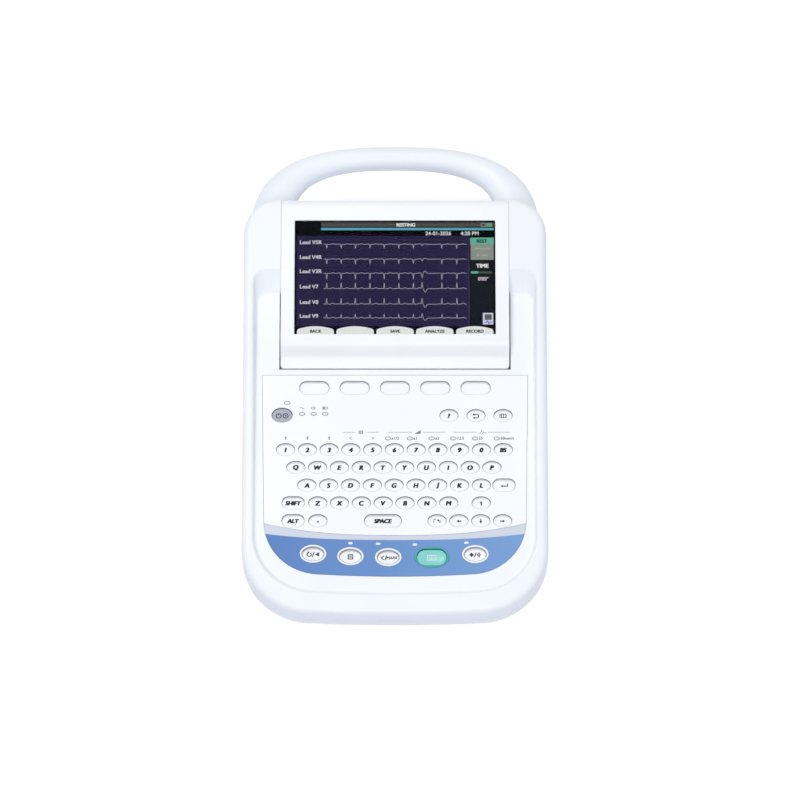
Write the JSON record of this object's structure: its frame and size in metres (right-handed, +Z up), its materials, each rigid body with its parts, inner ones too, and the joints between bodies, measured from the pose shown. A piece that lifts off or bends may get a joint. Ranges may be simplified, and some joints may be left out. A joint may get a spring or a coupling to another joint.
{
  "type": "electrocardiograph",
  "caption": "Desktop electrocardiograph with a rear carrying loop, a sunk keyboard of oval keys, a blue function strip and a flip-up display lid over its chart recorder.",
  "frame": {"origin": "middle of the box that the machine fills, on the table", "axes": "+X to the right of the person who uses it, +Y from that person to the rear, +Z up"},
  "size_m": [0.23, 0.3875, 0.0781],
  "materials": {
    "case_white": "satin moulded plastic",
    "handle_white": "satin moulded plastic",
    "panel_white": "satin moulded plastic with printed legends",
    "trim_grey": "satin",
    "strip_blue": "satin",
    "collar_white": "satin",
    "collar_green": "satin",
    "lid_white": "satin moulded plastic",
    "lid_inner": "fine texture",
    "window_clear": "clear, glossy",
    "lcd": "dark, lit picture",
    "board_green": "solder mask",
    "steel": "zinc plated",
    "key_white": "satin",
    "key_grey": "satin",
    "key_green": "satin",
    "mat_silicone": "matte",
    "lens": "frosted",
    "supply_metal": "folded sheet",
    "battery_wrap": "shrink sleeve",
    "cover_white": "satin moulded plastic",
    "tray_black": "fine texture",
    "paper": "uncoated paper",
    "ceramic": "glazed ceramic",
    "sink": "extruded",
    "platen_rubber": "ground rubber",
    "gear_plastic": "acetal",
    "motor": "plated",
    "socket_black": "moulded",
    "socket_blue": "moulded",
    "foot_rubber": "matte"
  },
  "bodies": {
    "case": {"upper_case": "case_white", "lower_case": "case_white", "handle_upper": "handle_white", "handle_lower": "handle_white", "keyboard_panel": "panel_white", "trim_crescent": "trim_grey", "function_strip": "strip_blue", "key_collars": "collar_white", "record_key_collar": "collar_green", "main_board": "board_green", "keyboard_board": "board_green", "amplifier_board": "board_green", "hinge_pins": "steel", "case_screws": "steel", "recorder_frame": "steel", "keypad_mat": "mat_silicone", "indicator_lenses": "lens", "power_supply": "supply_metal", "battery_pack": "battery_wrap", "paper_tray": "tray_black", "chart_paper": "paper", "thermal_head": "ceramic", "head_heatsink": "sink", "feed_motor": "motor", "power_inlet": "socket_black", "data_sockets": "socket_black", "speaker": "socket_black", "patient_socket": "socket_blue", "rubber_feet": "foot_rubber"},
    "lid": {"lid_front": "lid_white", "lid_back": "lid_inner", "screen_window": "window_clear", "lcd_module": "lcd", "display_board": "board_green"},
    "platen": {"platen_roller": "platen_rubber", "platen_gear": "gear_plastic"},
    "idler": {"idler_gear": "gear_plastic"},
    "pinion": {"motor_pinion": "gear_plastic"},
    "battery_door": {"battery_cover": "cover_white"},
    "soft_button_1": {"soft_key_1": "key_white"},
    "soft_button_2": {"soft_key_2": "key_white"},
    "soft_button_3": {"soft_key_3": "key_white"},
    "soft_button_4": {"soft_key_4": "key_white"},
    "soft_button_5": {"soft_key_5": "key_white"},
    "power_button": {"power_key": "key_grey"},
    "help_button": {"help_key": "key_white"},
    "page_button": {"page_key": "key_white"},
    "copy_button": {"copy_key": "key_white"},
    "rhythm_button": {"rhythm_key": "key_white"},
    "stop_button": {"stop_key": "key_white"},
    "mark_button": {"mark_key": "key_white"},
    "record_button": {"record_key": "key_green"},
    "feed_button": {"feed_key": "key_white"},
    "number_row": {"number_row_keys": "key_white"},
    "upper_letter_keys_row": {"upper_letter_keys": "key_white"},
    "middle_letter_keys_row": {"middle_letter_keys": "key_white"},
    "lower_letter_keys_row": {"lower_letter_keys": "key_white"},
    "bottom_row": {"bottom_row_keys": "key_white"}
  },
  "joints": [
    {"name": "lid_hinge", "type": "hinge", "parent": "case", "child": "lid", "pos_m": [0, 0.12854, 0.07053], "axis": [-1, 0, 0], "range_deg": [0, 95]},
    {"name": "platen_spin", "type": "hinge", "parent": "lid", "child": "platen", "pos_m": [0, 0.01981, 0.04985], "axis": [1, 0, 0], "continuous": true},
    {"name": "idler_spin", "type": "hinge", "parent": "case", "child": "idler", "pos_m": [0, 0.02444, 0.03371], "axis": [1, 0, 0], "continuous": true},
    {"name": "pinion_spin", "type": "hinge", "parent": "case", "child": "pinion", "pos_m": [0, 0.03841, 0.03022], "axis": [1, 0, 0], "continuous": true},
    {"name": "battery_door_slide", "type": "slide", "parent": "case", "child": "battery_door", "axis": [0, 1, 0], "range_m": [0, 0.014]},
    {"name": "soft_button_1_press", "type": "slide", "parent": "case", "child": "soft_button_1", "axis": [0, 0.0698, -0.9976], "range_m": [0, 0.001], "stiffness_N_per_m": 2400},
    {"name": "soft_button_2_press", "type": "slide", "parent": "case", "child": "soft_button_2", "axis": [0, 0.0698, -0.9976], "range_m": [0, 0.001], "stiffness_N_per_m": 2400},
    {"name": "soft_button_3_press", "type": "slide", "parent": "case", "child": "soft_button_3", "axis": [0, 0.0698, -0.9976], "range_m": [0, 0.001], "stiffness_N_per_m": 2400},
    {"name": "soft_button_4_press", "type": "slide", "parent": "case", "child": "soft_button_4", "axis": [0, 0.0698, -0.9976], "range_m": [0, 0.001], "stiffness_N_per_m": 2400},
    {"name": "soft_button_5_press", "type": "slide", "parent": "case", "child": "soft_button_5", "axis": [0, 0.0698, -0.9976], "range_m": [0, 0.001], "stiffness_N_per_m": 2400},
    {"name": "power_button_press", "type": "slide", "parent": "case", "child": "power_button", "axis": [0, 0.0698, -0.9976], "range_m": [0, 0.001], "stiffness_N_per_m": 1200},
    {"name": "help_button_press", "type": "slide", "parent": "case", "child": "help_button", "axis": [0, 0.0698, -0.9976], "range_m": [0, 0.001], "stiffness_N_per_m": 1200},
    {"name": "page_button_press", "type": "slide", "parent": "case", "child": "page_button", "axis": [0, 0.0698, -0.9976], "range_m": [0, 0.001], "stiffness_N_per_m": 1200},
    {"name": "copy_button_press", "type": "slide", "parent": "case", "child": "copy_button", "axis": [0, 0.0698, -0.9976], "range_m": [0, 0.001], "stiffness_N_per_m": 1200},
    {"name": "rhythm_button_press", "type": "slide", "parent": "case", "child": "rhythm_button", "axis": [0, 0.0698, -0.9976], "range_m": [0, 0.001], "stiffness_N_per_m": 1200},
    {"name": "stop_button_press", "type": "slide", "parent": "case", "child": "stop_button", "axis": [0, 0.0698, -0.9976], "range_m": [0, 0.001], "stiffness_N_per_m": 1200},
    {"name": "mark_button_press", "type": "slide", "parent": "case", "child": "mark_button", "axis": [0, 0.0698, -0.9976], "range_m": [0, 0.001], "stiffness_N_per_m": 1200},
    {"name": "record_button_press", "type": "slide", "parent": "case", "child": "record_button", "axis": [0, 0.0698, -0.9976], "range_m": [0, 0.001], "stiffness_N_per_m": 1200},
    {"name": "feed_button_press", "type": "slide", "parent": "case", "child": "feed_button", "axis": [0, 0.0698, -0.9976], "range_m": [0, 0.001], "stiffness_N_per_m": 1200},
    {"name": "number_row_press", "type": "slide", "parent": "case", "child": "number_row", "axis": [0, 0.0698, -0.9976], "range_m": [0, 0.001], "stiffness_N_per_m": 2400},
    {"name": "upper_letter_keys_row_press", "type": "slide", "parent": "case", "child": "upper_letter_keys_row", "axis": [0, 0.0698, -0.9976], "range_m": [0, 0.001], "stiffness_N_per_m": 2400},
    {"name": "middle_letter_keys_row_press", "type": "slide", "parent": "case", "child": "middle_letter_keys_row", "axis": [0, 0.0698, -0.9976], "range_m": [0, 0.001], "stiffness_N_per_m": 2400},
    {"name": "lower_letter_keys_row_press", "type": "slide", "parent": "case", "child": "lower_letter_keys_row", "axis": [0, 0.0698, -0.9976], "range_m": [0, 0.001], "stiffness_N_per_m": 2400},
    {"name": "bottom_row_press", "type": "slide", "parent": "case", "child": "bottom_row", "axis": [0, 0.0698, -0.9976], "range_m": [0, 0.001], "stiffness_N_per_m": 2400}
  ],
  "couplings": [
    {"joint": "idler_spin", "follows": "platen_spin", "ratio": -0.75},
    {"joint": "pinion_spin", "follows": "platen_spin", "ratio": 1.5}
  ]
}
